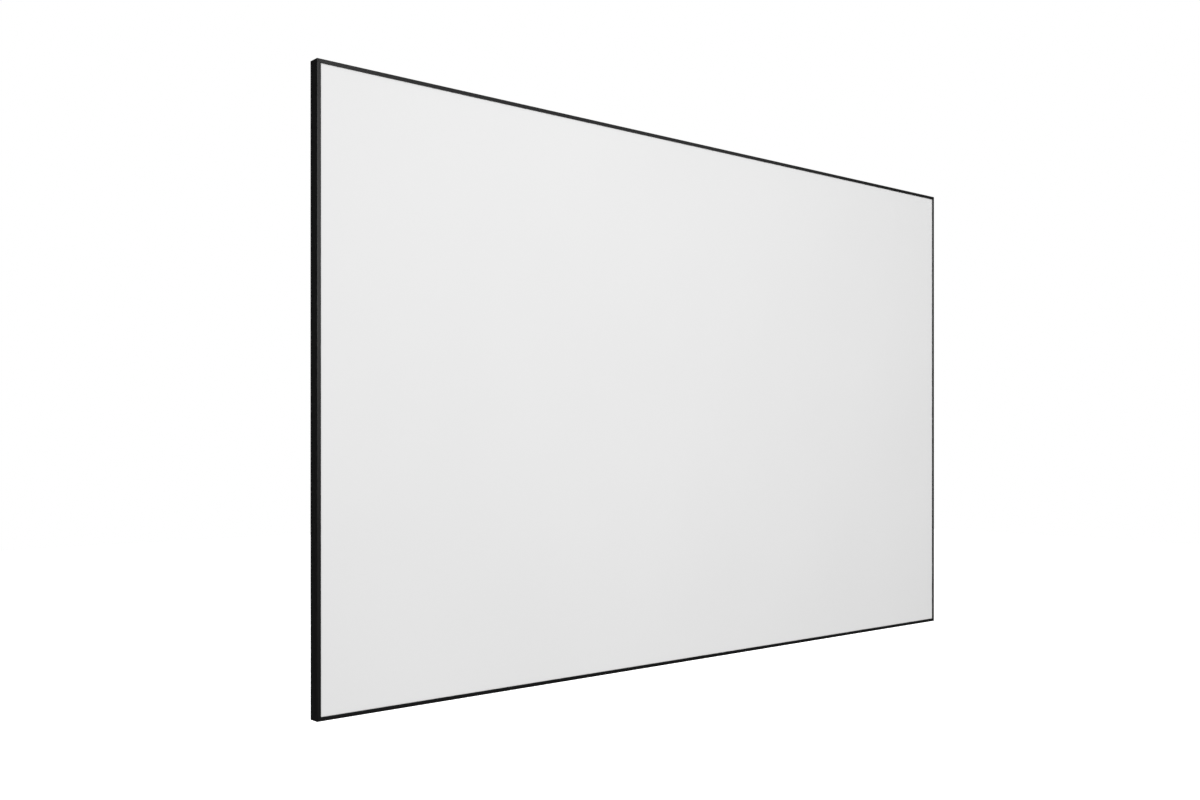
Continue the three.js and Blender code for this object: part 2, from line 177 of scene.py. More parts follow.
studio_room()
pale_floor()
soft_lamp("key_lamp", place=(-0.8, -3.7, 1.0), target=(-0.24, 0, 0.3), size=(2.4, 1.8), power=72)
soft_lamp("highlight_lamp", place=(2.6, -3.9, 1.25), target=(0, 0, 0.3), size=(3.0, 1.9), power=13)
soft_lamp("back_lamp", place=(1.7, 4.4, 2.6), target=(0.2, 0, 0), size=(5.0, 3.8), power=112)
soft_lamp("side_back_lamp", place=(4.2, 2.6, 0.4), target=(0, 0, 0), size=(1.6, 1.6), power=30)


# Frame rails. Six lengths of one black anodised aluminium extrusion: two uprights, and two halves each for
# the top and bottom. They are sawn to a mitre, and show the fine lines of the die along their run.
def group_of(name, takes, gives):
    """An empty shader group with named sockets, its own input and output nodes, and a way to link."""
    group = bpy.data.node_groups.new(name, "ShaderNodeTree")
    for label, kind, value in takes:
        socket = group.interface.new_socket(name=label, in_out="INPUT", socket_type=kind)
        socket.default_value = value
    for label, kind in gives:
        group.interface.new_socket(name=label, in_out="OUTPUT", socket_type=kind)
    return group, group.nodes.new("NodeGroupInput"), group.nodes.new("NodeGroupOutput"), group.links.new


def die_lines_group():
    """Long fine lines along a bar: Stretch is small along the run and large across it."""
    group, given, result, link = group_of(
        "die_lines",
        [
            ("Vector", "NodeSocketVector", (0, 0, 0)),
            ("Stretch", "NodeSocketVector", (4, 700, 700)),
            ("Smoothest", "NodeSocketFloat", 0.3),
            ("Roughest", "NodeSocketFloat", 0.4),
        ],
        [("Roughness", "NodeSocketFloat"), ("Tone", "NodeSocketFloat"), ("Height", "NodeSocketFloat")],
    )
    stretched = group.nodes.new("ShaderNodeVectorMath")
    stretched.operation = "MULTIPLY"
    link(given.outputs["Vector"], stretched.inputs[0])
    link(given.outputs["Stretch"], stretched.inputs[1])
    lines = group.nodes.new("ShaderNodeTexNoise")
    lines.inputs["Scale"].default_value = 1
    lines.inputs["Detail"].default_value = 3
    link(stretched.outputs[0], lines.inputs["Vector"])
    grain = group.nodes.new("ShaderNodeTexNoise")
    grain.inputs["Scale"].default_value = 1400
    grain.inputs["Detail"].default_value = 1
    link(given.outputs["Vector"], grain.inputs["Vector"])
    both = group.nodes.new("ShaderNodeMix")
    both.data_type = "FLOAT"
    both.inputs["Factor"].default_value = 0.35
    link(lines.outputs["Fac"], both.inputs["A"])
    link(grain.outputs["Fac"], both.inputs["B"])
    rough = group.nodes.new("ShaderNodeMapRange")
    rough.inputs["From Min"].default_value = 0.3
    rough.inputs["From Max"].default_value = 0.7
    link(both.outputs[0], rough.inputs["Value"])
    link(given.outputs["Smoothest"], rough.inputs["To Min"])
    link(given.outputs["Roughest"], rough.inputs["To Max"])
    link(rough.outputs[0], result.inputs["Roughness"])
    link(lines.outputs["Fac"], result.inputs["Tone"])
    link(both.outputs[0], result.inputs["Height"])
    return group


die_lines = die_lines_group()


def patterned_finish(name, pattern, values, dark, light, relief=0.0, relief_depth=0.0002, surface=()):
    """A finish whose pattern leads from a dark tone to a light one, and gives its roughness and relief."""
    material = bpy.data.materials.new(name)
    node, link = nodes_of(material)
    place = node.new("ShaderNodeTexCoord")
    marks = node.new("ShaderNodeGroup")
    marks.node_tree = pattern
    for label, value in values.items():
        marks.inputs[label].default_value = value
    tone = node.new("ShaderNodeMix")
    tone.data_type = "RGBA"
    tone.inputs["A"].default_value = (*dark, 1)
    tone.inputs["B"].default_value = (*light, 1)
    shader = node.new("ShaderNodeBsdfPrincipled")
    for label, value in dict(surface).items():
        shader.inputs[label].default_value = value
    output = node.new("ShaderNodeOutputMaterial")
    link(place.outputs["Object"], marks.inputs["Vector"])
    link(marks.outputs["Tone"], tone.inputs["Factor"])
    link(tone.outputs["Result"], shader.inputs["Base Color"])
    link(shader.outputs[0], output.inputs[0])
    if "Roughness" in marks.outputs:
        link(marks.outputs["Roughness"], shader.inputs["Roughness"])
    if relief:
        bump = node.new("ShaderNodeBump")
        bump.inputs["Strength"].default_value = relief
        bump.inputs["Distance"].default_value = relief_depth
        link(marks.outputs["Height"], bump.inputs["Height"])
        link(bump.outputs[0], shader.inputs["Normal"])
    return material


def black_anodised(name, dark, light, smoothest, roughest, relief):
    """The finish twice, with its die lines along a level piece and along an upright one."""
    finish = {}
    for run, stretch in (("level", (5, 900, 900)), ("upright", (900, 900, 5))):
        values = {"Stretch": stretch, "Smoothest": smoothest, "Roughest": roughest}
        finish[run] = patterned_finish(f"{name}_{run}", die_lines, values, dark, light, relief)
    return finish


def finish_node(name, material):
    """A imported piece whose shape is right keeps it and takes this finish."""
    slots = nodes[name].data.materials
    slots.clear()
    slots.append(material)


def finish_sides(start, finish):
    """The four halves of the long sides take the level finish, and the two short sides the upright one."""
    for place in ("top_left", "top_right", "bottom_left", "bottom_right"):
        finish_node(f"{start}_{place}", finish["level"])
    for place in ("left", "right"):
        finish_node(f"{start}_{place}", finish["upright"])


rail_black = black_anodised(
    "rail_black",
    dark=(0.012, 0.012, 0.013),
    light=(0.022, 0.022, 0.024),
    smoothest=0.36,
    roughest=0.56,
    relief=0.25,
)
finish_sides("frame_rail", rail_black)

# All four sides have one section. What is drawn for the top one is turned into place: each side has its
# turn about Y, how far its outer edge is from the middle, and half its length.
half_width, half_height = cad_box[1][0], cad_box[1][2]
sides = {
    "top": (0.0, half_height, half_width),
    "right": (math.pi / 2, half_width, half_height),
    "bottom": (math.pi, half_height, half_width),
    "left": (-math.pi / 2, half_width, half_height),
}


def side_frame(side, along=0.0):
    """Puts what is drawn for the top side, with its outer edge at height 0, in its place on any side."""
    turn, reach, _ = sides[side]
    return Matrix.Rotation(turn, 4, "Y") @ Matrix.Translation((along, 0, reach))


# Corner and splice plates. Bright zinc plated steel, three millimetres thick, slid into the slots of two
# rails and clamped with black socket grub screws, which press on the floor of the slot.
def zinc_flow_group():
    """The cloudy bloom of bright zinc, and the fine drawing lines under it."""
    group, given, result, link = group_of(
        "zinc_flow",
        [("Vector", "NodeSocketVector", (0, 0, 0)), ("Cloud Size", "NodeSocketFloat", 90.0)],
        [("Tone", "NodeSocketFloat"), ("Roughness", "NodeSocketFloat"), ("Height", "NodeSocketFloat")],
    )
    cloud = group.nodes.new("ShaderNodeTexNoise")
    cloud.inputs["Detail"].default_value = 5
    cloud.inputs["Roughness"].default_value = 0.62
    link(given.outputs["Vector"], cloud.inputs["Vector"])
    link(given.outputs["Cloud Size"], cloud.inputs["Scale"])
    drawn = group.nodes.new("ShaderNodeVectorMath")
    drawn.operation = "MULTIPLY"
    drawn.inputs[1].default_value = (60, 60, 2600)
    link(given.outputs["Vector"], drawn.inputs[0])
    lines = group.nodes.new("ShaderNodeTexNoise")
    lines.inputs["Scale"].default_value = 1
    link(drawn.outputs[0], lines.inputs["Vector"])
    rough = group.nodes.new("ShaderNodeMapRange")
    rough.inputs["To Min"].default_value = 0.3
    rough.inputs["To Max"].default_value = 0.55
    link(cloud.outputs["Fac"], rough.inputs["Value"])
    link(cloud.outputs["Fac"], result.inputs["Tone"])
    link(rough.outputs[0], result.inputs["Roughness"])
    link(lines.outputs["Fac"], result.inputs["Height"])
    return group


def bright_zinc(name, dark, light):
    return patterned_finish(name, zinc_flow, {}, dark, light, relief=0.12, surface={"Metallic": 0.6})


zinc_flow = zinc_flow_group()
plate_zinc = bright_zinc("plate_zinc", dark=(0.42, 0.43, 0.45), light=(0.74, 0.75, 0.77))
screw_black = bright_zinc("screw_black", dark=(0.02, 0.02, 0.022), light=(0.06, 0.06, 0.065))
for place in ("top_left", "top_right", "bottom_left", "bottom_right"):
    finish_node(f"corner_plate_{place}", plate_zinc)
for place in ("top", "bottom"):
    finish_node(f"splice_plate_{place}", plate_zinc)


def pick_faces(obj, wanted):
    """Selects the faces that the test takes, in edit mode, and nothing else."""
    bpy.ops.mesh.select_mode(type="FACE")
    bpy.ops.mesh.select_all(action="DESELECT")
    mesh = bmesh.from_edit_mesh(obj.data)
    for face in mesh.faces:
        face.select = wanted(face)
    mesh.select_flush_mode()
    bmesh.update_edit_mesh(obj.data)


grub_radius, grub_length = 0.0024, 0.0044
chamfer_width, chamfer_depth = 0.0004, 0.0002
socket_rim, socket_depth = 0.0006, 0.0018


def grub_screw():
    """One socket grub screw at the origin, its socket towards the back."""
    bpy.ops.object.select_all(action="DESELECT")
    bpy.ops.mesh.primitive_cylinder_add(
        vertices=18,
        radius=grub_radius,
        depth=grub_length,
        rotation=(math.pi / 2, 0, 0),
        end_fill_type="NGON",
    )
    screw = bpy.context.object
    bpy.ops.object.transform_apply(location=True, rotation=True, scale=True)
    bpy.ops.object.mode_set(mode="EDIT")
    pick_faces(screw, lambda face: face.normal.y > 0.9)
    bpy.ops.mesh.inset(thickness=chamfer_width, depth=-chamfer_depth)
    bpy.ops.mesh.inset(thickness=socket_rim, depth=0)
    bpy.ops.mesh.extrude_region_move(TRANSFORM_OT_translate={"value": (0, -socket_depth, 0)})
    bpy.ops.object.mode_set(mode="OBJECT")
    return screw


def select_only(piece):
    bpy.ops.object.select_all(action="DESELECT")
    piece.select_set(True)
    bpy.context.view_layer.objects.active = piece


def placed_copy(pattern, name, place):
    """A copy of a piece with its own mesh, which holds its place."""
    piece = pattern.copy()
    piece.data = pattern.data.copy()
    piece.data.transform(place)
    piece.name = name
    bpy.context.collection.objects.link(piece)
    return piece


def joined_copies(pattern, name, places):
    """A copy at each place, joined to one piece. The pattern is used up."""
    made = [placed_copy(pattern, name, place) for place in places]
    bpy.data.objects.remove(pattern)
    select_only(made[0])
    for piece in made:
        piece.select_set(True)
    bpy.ops.object.join()
    return made[0]


def dressed(piece, material):
    """Gives a new piece its finish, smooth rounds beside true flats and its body."""
    piece.data.materials.clear()
    piece.data.materials.append(material)
    select_only(piece)
    bpy.ops.object.shade_smooth_by_angle(angle=math.radians(35))
    flats = piece.modifiers.new("true_flats", "WEIGHTED_NORMAL")
    flats.keep_sharp = True
    bpy.ops.object.modifier_apply(modifier=flats.name)
    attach(piece, "root")
    return piece


screw_from_end, screw_pitch = 0.012, 0.045  # along a plate
floor_gap = 0.0003  # from the front of a plate to the floor of the slot, which a screw's tip touches
splice_low, splice_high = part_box("splice_plate_top")
corner_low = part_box("corner_plate_top_right")[0]
slot_in = half_height - (splice_low[2] + splice_high[2]) / 2  # middle of the slot
screw_y = splice_low[1] - floor_gap + grub_length / 2

outer_screw = half_width - corner_low[0] - screw_from_end
corner_screw_places = []
for across in (-1, 1):
    for up in (-1, 1):
        for away in (outer_screw, outer_screw - screw_pitch):
            for inward_x, inward_z in ((away, slot_in), (slot_in, away)):
                spot = (across * (half_width - inward_x), screw_y, up * (half_height - inward_z))
                corner_screw_places.append(Matrix.Translation(spot))
dressed(joined_copies(grub_screw(), "corner_grub_screws", corner_screw_places), screw_black)

outer_screw = splice_high[0] - screw_from_end
inner_screw = outer_screw - screw_pitch
splice_screw_places = [
    Matrix.Translation((along, screw_y, up * (half_height - slot_in)))
    for up in (-1, 1)
    for along in (-outer_screw, -inner_screw, inner_screw, outer_screw)
]
dressed(joined_copies(grub_screw(), "splice_grub_screws", splice_screw_places), screw_black)


# Support bar. A flat black aluminium tube stands behind the middle of the cloth and keeps the long rails
# from bowing in under its pull. A moulded end plugs into it and grips the rail, held by a pan head screw on
# each side of the bar.
def moulded_grain_group():
    """The fine spark-eroded grain of a moulded surface."""
    group, given, result, link = group_of(
        "moulded_grain",
        [("Vector", "NodeSocketVector", (0, 0, 0)), ("Grain Size", "NodeSocketFloat", 2200.0)],
        [("Tone", "NodeSocketFloat"), ("Roughness", "NodeSocketFloat"), ("Height", "NodeSocketFloat")],
    )
    grain = group.nodes.new("ShaderNodeTexNoise")
    grain.inputs["Detail"].default_value = 2
    link(given.outputs["Vector"], grain.inputs["Vector"])
    link(given.outputs["Grain Size"], grain.inputs["Scale"])
    cloud = group.nodes.new("ShaderNodeTexNoise")
    cloud.inputs["Scale"].default_value = 35
    link(given.outputs["Vector"], cloud.inputs["Vector"])
    rough = group.nodes.new("ShaderNodeMapRange")
    rough.inputs["To Min"].default_value = 0.42
    rough.inputs["To Max"].default_value = 0.6
    link(cloud.outputs["Fac"], rough.inputs["Value"])
    link(grain.outputs["Fac"], result.inputs["Tone"])
    link(rough.outputs[0], result.inputs["Roughness"])
    link(grain.outputs["Fac"], result.inputs["Height"])
    return group


black_nylon = patterned_finish(
    "black_nylon",
    moulded_grain_group(),
    {},
    dark=(0.013, 0.013, 0.014),
    light=(0.026, 0.026, 0.028),
    relief=0.2,
    relief_depth=0.0001,
)
finish_node("support_bar", rail_black["upright"])
for place in ("top", "bottom"):
    finish_node(f"support_bar_end_{place}", black_nylon)


head_radius, head_height, head_round = 0.0036, 0.002, 0.0009
cross_width, cross_length, cross_depth = 0.0007, 0.0038, 0.001


def cut_away(piece, cutter):
    """Takes the cutter's shape out of a piece. The cutter is used up."""
    cut = piece.modifiers.new("cut", "BOOLEAN")
    cut.object = cutter
    cut.solver = "EXACT"
    bpy.context.view_layer.objects.active = piece
    bpy.ops.object.modifier_apply(modifier=cut.name)
    bpy.data.objects.remove(cutter)


def pan_head_screw():
    """One pan head with a cross recess, its face towards +X and its seat at the origin."""
    bpy.ops.object.select_all(action="DESELECT")
    bpy.ops.mesh.primitive_cylinder_add(
        vertices=24,
        radius=head_radius,
        depth=head_height,
        location=(head_height / 2, 0, 0),
        rotation=(0, math.pi / 2, 0),
    )
    head = bpy.context.object
    bpy.ops.object.transform_apply(location=True, rotation=True, scale=True)
    bpy.ops.object.mode_set(mode="EDIT")
    pick_faces(head, lambda face: face.normal.x > 0.9)
    bpy.ops.mesh.bevel(offset=head_round, segments=3, affect="EDGES")
    bpy.ops.object.mode_set(mode="OBJECT")
    for width, length in ((cross_width, cross_length), (cross_length, cross_width)):
        bpy.ops.object.select_all(action="DESELECT")
        bpy.ops.mesh.primitive_cube_add(
            size=1, location=(head_height, 0, 0), scale=(2 * cross_depth, width, length)
        )
        cut_away(head, bpy.context.object)
    return head


screw_from_bar_end = 0.0225
bar_low, bar_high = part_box("support_bar")
bar_screw_places = []
for across, turn in ((-1, math.pi), (1, 0)):
    for up in (-1, 1):
        spot = (across * bar_high[0], bar_low[1] / 2, up * (bar_high[2] - screw_from_bar_end))
        bar_screw_places.append(Matrix.Translation(spot) @ Matrix.Rotation(turn, 4, "Z"))
dressed(joined_copies(pan_head_screw(), "support_bar_screws", bar_screw_places), screw_black)


# The cloth. One sheet of coated screen cloth, matt light grey in front and black behind. It lies flat over
# the nose of the rails, turns back round their outside, and slants into the channel, where a welded hem
# holds the tension rod. The hem is cut away at each hook.
cloth_thickness = 0.00045
round_steps = 5
side_lines = (-0.020, -0.015, -0.010)  # depths of the mesh lines on the outside of the rails
back_lines = (0.0075, 0.0110)  # how far inward they are on the back
corner_cut_in = 0.0134  # each corner is cut away from here inward
rail_turn_in = 0.01445  # middle of the round on the rail's rear inner edge
rail_round = 0.0018  # radius of the cloth's inner side, with its clearance
slant_lines = (0.0016, 0.00319)  # along the slant, up to where the hook cuts begin
cut_lines = (0.0050, 0.0072)  # and from there to the hem
hem_play = 0.00025  # between the hem and its rod
weld, weld_lap = 0.0044, 0.0005  # where the hem meets the slant again, along it and under it
weld_lines = (0, 0.0012, 0.0024)  # from there back along the slant
line_pitch = 0.014  # from one line across a side to the next
notch_half = 0.008
hem_from_rod_end = 0.004
same_place = 1e-5  # places nearer than this are one
ripple_height, ripple_turn = 0.00012, 410  # shallow waves: metres, and radians to the metre
ripple_in, ripple_half = 0.0175, 0.0025  # where they are highest, and how far they reach from there
pucker_height, pucker_turn, pucker_reach = 0.00022, 330, 0.03  # the pull of a hook
rod_low, rod_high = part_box("tension_rod_top")
rod_in = half_height - (rod_low[2] + rod_high[2]) / 2
rod_y = (rod_low[1] + rod_high[1]) / 2
rod_radius = (rod_high[1] - rod_low[1]) / 2
hem_start = half_width - rod_high[0] + hem_from_rod_end


def middles(start, axis):
    """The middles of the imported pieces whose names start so, in order along one axis."""
    boxes = [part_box(name) for name in nodes if name.startswith(start)]
    return sorted((low[axis] + high[axis]) / 2 for low, high in boxes)


hook_places = {"top": middles("tension_hook_top_", 0), "right": middles("tension_hook_right_", 2)}
hook_places["bottom"], hook_places["left"] = hook_places["top"], hook_places["right"]


def arc_points(centre, radius, start, stop, steps):
    """Points of an arc from one angle to another, in degrees."""
    turn = [math.radians(start + (stop - start) * i / steps) for i in range(steps + 1)]
    return [(centre[0] + radius * math.cos(a), centre[1] + radius * math.sin(a)) for a in turn]


def cloth_path():
    """The middle of the cloth across its edge, as (inward, depth), and where corner and hook cuts begin."""
    low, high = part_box("projection_cloth")
    middle = cloth_thickness / 2
    edge_in, front, back = half_width - high[0] + middle, low[1] + middle, high[1] - middle
    bend = rail_round + middle
    path = arc_points((edge_in + bend, front + bend), bend, 270, 180, round_steps)
    path += [(edge_in, depth) for depth in side_lines]
    path += arc_points((edge_in + bend, back - bend), bend, 180, 90, round_steps)
    path += [(inward, back) for inward in back_lines]
    corner_end = len(path)

    # From the rail's rear edge the cloth slants down to the rod, at a tangent to both rounds.
    turn, rod = Vector((rail_turn_in, back - bend)), Vector((rod_in, rod_y))
    loop = rod_radius + hem_play + middle
    apart = rod - turn
    slope = math.atan2(apart.y, apart.x) + math.asin((loop - bend) / apart.length)
    run = Vector((math.cos(slope), math.sin(slope)))
    rise = Vector((-run.y, run.x))

    def slant(along, under=0.0):
        return tuple(turn + rise * (bend - under) + run * along)

    across_slope = math.degrees(slope) + 90
    path += [(corner_cut_in, back), *arc_points(turn, bend, 90, across_slope, 3)]
    path += [slant(along) for along in slant_lines]
    notch_end = len(path) - 1

    # Round the rod it goes, and back to the slant, where it is welded on from below.
    back_to = Vector(slant(weld, weld_lap)) - rod
    leave = math.degrees(math.atan2(back_to.y, back_to.x) + math.acos(loop / back_to.length)) - 360
    path += [slant(along) for along in cut_lines]
    path += arc_points(rod, loop, across_slope, leave, 14)
    path += [slant(weld - back_along, weld_lap) for back_along in weld_lines]
    return path, corner_end, notch_end


def cloth_columns(side_half, places):
    """The lines across the straight stretch of a side, on the edges and middle of each hook cut too."""
    hem_half = side_half - hem_start
    marks = {round(-hem_half, 6), round(hem_half, 6)}
    for place in places:
        marks |= {round(place - notch_half, 6), round(place, 6), round(place + notch_half, 6)}
    marks = sorted(marks)
    dense = []
    for a, b in zip(marks, marks[1:]):
        steps = max(1, round((b - a) / line_pitch))
        dense += [a + (b - a) * i / steps for i in range(steps)]
    return dense + [marks[-1]]


def in_notch(along, places):
    return any(abs(along - place) < notch_half - same_place for place in places)


def screen_cloth():
    """The middle of the whole sheet: its flat front, and round each side the path across its edge."""
    path, corner_end, notch_end = cloth_path()
    corner_shares = (0.2, 0.4, 0.6, 0.8)
    mesh = bmesh.new()
    first_in = path[0][0]

    def whole_run(side):
        """Half a side's length, and its lines: (kind, place or direction, share of the corner stretch)."""
        half = sides[side][2]
        columns = [("corner", -1, share) for share in (1.0, *reversed(corner_shares))]
        columns += [("straight", along, 0) for along in cloth_columns(half, hook_places[side])]
        columns += [("corner", 1, share) for share in (*corner_shares, 1.0)]
        return half, columns

    def along_at(half, column, inward):
        kind, value, share = column
        if kind == "straight":
            return value
        return value * ((half - hem_start) + share * (hem_start - inward))

    # The flat front is a grid whose lines run on from the columns of the sides.
    half_x, columns_x = whole_run("top")
    half_z, columns_z = whole_run("right")
    xs = [along_at(half_x, c, first_in) for c in columns_x]
    zs = [along_at(half_z, c, first_in) for c in columns_z]
    front = [[mesh.verts.new((x, path[0][1], z)) for z in zs] for x in xs]
    for i in range(len(xs) - 1):
        for j in range(len(zs) - 1):
            mesh.faces.new((front[i][j], front[i + 1][j], front[i + 1][j + 1], front[i][j + 1]))

    def front_row(side):
        if side == "top":
            return [front[i][-1] for i in range(len(xs))]
        if side == "right":
            return [front[-1][j] for j in reversed(range(len(zs)))]
        if side == "bottom":
            return [front[i][0] for i in reversed(range(len(xs)))]
        return [front[0][j] for j in range(len(zs))]

    # Each side starts from its edge of the front. Two sides share the line of their corner.
    shared = {}
    for number, side in enumerate(sides):
        half, columns = whole_run(side)
        places = hook_places[side]
        move = side_frame(side)
        rows = [front_row(side)]
        for k in range(1, len(path)):
            inward, depth = path[k]
            row = []
            for column in columns:
                kind, value, share = column
                if kind == "corner" and k > corner_end:
                    row.append(None)
                    continue
                corner = None
                if kind == "corner" and share == 1.0:
                    corner = (number - 1) % len(sides) if value < 0 else number
                    if (corner, k) in shared:
                        row.append(shared[corner, k])
                        continue
                along = along_at(half, column, inward)
                ripple = 0.0
                if kind == "straight" and k > corner_end:
                    to_hook = min(abs(along - place) for place in places)
                    pull = math.exp(-((to_hook / pucker_reach) ** 2))
                    between = max(0, 1 - ((inward - ripple_in) / ripple_half) ** 2)
                    waves = ripple_height * math.sin(along * ripple_turn)
                    ripple = between * (waves + pucker_height * pull * math.cos(to_hook * pucker_turn))
                vertex = mesh.verts.new(move @ Vector((along, depth + ripple, -inward)))
                if corner is not None:
                    shared[corner, k] = vertex
                row.append(vertex)
            rows.append(row)
        for k in range(len(path) - 1):
            for c in range(len(columns) - 1):
                square = (rows[k][c], rows[k][c + 1], rows[k + 1][c + 1], rows[k + 1][c])
                if None in square:
                    continue
                middle = (columns[c][1] + columns[c + 1][1]) / 2
                if k >= notch_end and in_notch(middle, places):
                    continue
                mesh.faces.new(square)
    loose = [v for v in mesh.verts if not v.link_faces]
    bmesh.ops.delete(mesh, geom=loose, context="VERTS")

    # The picture faces the viewer.
    bmesh.ops.recalc_face_normals(mesh, faces=mesh.faces)
    if next(f for f in mesh.faces if abs(f.normal.y) > 0.99).normal.y > 0:
        bmesh.ops.reverse_faces(mesh, faces=mesh.faces)
    data = bpy.data.meshes.new("screen_cloth")
    mesh.to_mesh(data)
    mesh.free()
    cloth = bpy.data.objects.new("screen_cloth", data)
    bpy.context.collection.objects.link(cloth)
    return cloth


def cloth_grain_group():
    """A fine even emboss, as calendered screen cloth has."""
    group, given, result, link = group_of(
        "cloth_grain",
        [("Vector", "NodeSocketVector", (0, 0, 0)), ("Threads", "NodeSocketFloat", 1100.0)],
        [("Tone", "NodeSocketFloat"), ("Height", "NodeSocketFloat")],
    )
    pebble = group.nodes.new("ShaderNodeTexVoronoi")
    pebble.feature = "SMOOTH_F1"
    link(given.outputs["Vector"], pebble.inputs["Vector"])
    link(given.outputs["Threads"], pebble.inputs["Scale"])
    cloud = group.nodes.new("ShaderNodeTexNoise")
    cloud.inputs["Scale"].default_value = 2.2
    cloud.inputs["Detail"].default_value = 3
    link(given.outputs["Vector"], cloud.inputs["Vector"])
    link(pebble.outputs["Distance"], result.inputs["Height"])
    link(cloud.outputs["Fac"], result.inputs["Tone"])
    return group


def coated_cloth(name, threads, dark, light, roughness, relief):
    surface = {"Roughness": roughness, "Specular IOR Level": 0.25}
    return patterned_finish(name, cloth_grain, {"Threads": threads}, dark, light, relief, surface=surface)


cloth_grain = cloth_grain_group()
matt_front = coated_cloth(
    "matt_front",
    threads=1100,
    dark=(0.80, 0.80, 0.80),
    light=(0.83, 0.83, 0.83),
    roughness=0.92,
    relief=0.06,
)
black_backing = coated_cloth(
    "black_backing",
    threads=900,
    dark=(0.030, 0.030, 0.032),
    light=(0.048, 0.048, 0.050),
    roughness=0.8,
    relief=0.25,
)
cloth = screen_cloth()
cloth.data.materials.append(matt_front)
cloth.data.materials.append(black_backing)
wall = cloth.modifiers.new("thickness", "SOLIDIFY")
wall.thickness = cloth_thickness
wall.offset = 0
wall.material_offset = 1
select_only(cloth)
bpy.ops.object.modifier_apply(modifier=wall.name)
bpy.ops.object.shade_smooth_by_angle(angle=math.radians(40))
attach(cloth, "root")
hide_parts("projection_cloth")
edge_path = cloth_path()[0]


# Tension rods. Drawn glass fibre, four millimetres thick and cream coloured, with the ends rounded so that
# they slide through the hem without catching. The fibres show as fine streaks.
def fibre_streaks_group():
    """Streaks along a drawn rod: Stretch is small along the run."""
    group, given, result, link = group_of(
        "fibre_streaks",
        [("Vector", "NodeSocketVector", (0, 0, 0)), ("Stretch", "NodeSocketVector", (8, 2600, 2600))],
        [("Tone", "NodeSocketFloat"), ("Roughness", "NodeSocketFloat")],
    )
    stretched = group.nodes.new("ShaderNodeVectorMath")
    stretched.operation = "MULTIPLY"
    link(given.outputs["Vector"], stretched.inputs[0])
    link(given.outputs["Stretch"], stretched.inputs[1])
    streaks = group.nodes.new("ShaderNodeTexNoise")
    streaks.inputs["Scale"].default_value = 1
    streaks.inputs["Detail"].default_value = 3
    link(stretched.outputs[0], streaks.inputs["Vector"])
    rough = group.nodes.new("ShaderNodeMapRange")
    rough.inputs["To Min"].default_value = 0.35
    rough.inputs["To Max"].default_value = 0.6
    link(streaks.outputs["Fac"], rough.inputs["Value"])
    link(streaks.outputs["Fac"], result.inputs["Tone"])
    link(rough.outputs[0], result.inputs["Roughness"])
    return group


rod_end_round = 0.0006


def tension_rod(side):
    """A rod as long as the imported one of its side."""
    low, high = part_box(f"tension_rod_{side}")
    length = max(high[0] - low[0], high[2] - low[2])
    bpy.ops.object.select_all(action="DESELECT")
    bpy.ops.mesh.primitive_cylinder_add(
        vertices=28,
        radius=rod_radius,
        depth=length,
        rotation=(0, math.pi / 2, 0),
        location=(0, rod_y, -rod_in),
    )
    rod = bpy.context.object
    bpy.ops.object.transform_apply(location=True, rotation=True, scale=True)
    bpy.ops.object.mode_set(mode="EDIT")
    pick_faces(rod, lambda face: abs(face.normal.x) > 0.9)
    bpy.ops.mesh.bevel(offset=rod_end_round, segments=3, affect="EDGES")
    bpy.ops.object.mode_set(mode="OBJECT")
    rod.data.transform(side_frame(side))
    rod.name = f"glass_fibre_rod_{side}"
    return rod


fibre_streaks = fibre_streaks_group()
glass_fibre = {
    run: patterned_finish(
        f"glass_fibre_{run}",
        fibre_streaks,
        {"Stretch": stretch},
        dark=(0.62, 0.58, 0.42),
        light=(0.82, 0.79, 0.66),
    )
    for run, stretch in (("level", (8, 2600, 2600)), ("upright", (2600, 2600, 8)))
}
for side in sides:
    run = "level" if side in ("top", "bottom") else "upright"
    rod = dressed(tension_rod(side), glass_fibre[run])
    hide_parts(f"tension_rod_{side}")


# Tension hooks. Black moulded clips, twelve millimetres wide. Each goes round the rod through a cut in the
# hem, runs over the rib of the rail and turns back under its bead, so that the cloth's own pull keeps it
# there.
hook_low, hook_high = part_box("tension_hook_top_1")
hook_width = hook_high[0] - hook_low[0]
hook_wall, hook_edge = 0.0018, 0.0003
hook_play = 0.0003  # between the hook and its rod
hook_round = rod_radius + hook_play + hook_wall / 2
hook_leg_in = half_height - hook_low[2] - hook_wall / 2
hook_leg = rod_y - hook_round - (hook_low[1] + hook_wall / 2)
hook_rib_in = 0.0292  # where it comes to the rib that it passes over
hook_foot = 0.0021
mouth_start, mouth_end = 271, 59  # degrees round the rod, counted from straight inward through the back


def thickened(piece, thickness):
    """Gives an open shape its wall, half to each side."""
    wall = piece.modifiers.new("wall", "SOLIDIFY")
    wall.thickness = thickness
    wall.offset = 0
    wall.use_even_offset = True
    bpy.ops.object.modifier_apply(modifier=wall.name)


def softened(piece, width):
    """Rounds the sharp edges a little."""
    soft = piece.modifiers.new("soft", "BEVEL")
    soft.width = width
    soft.segments = 2
    soft.limit_method = "ANGLE"
    soft.angle_limit = math.radians(40)
    bpy.ops.object.modifier_apply(modifier=soft.name)


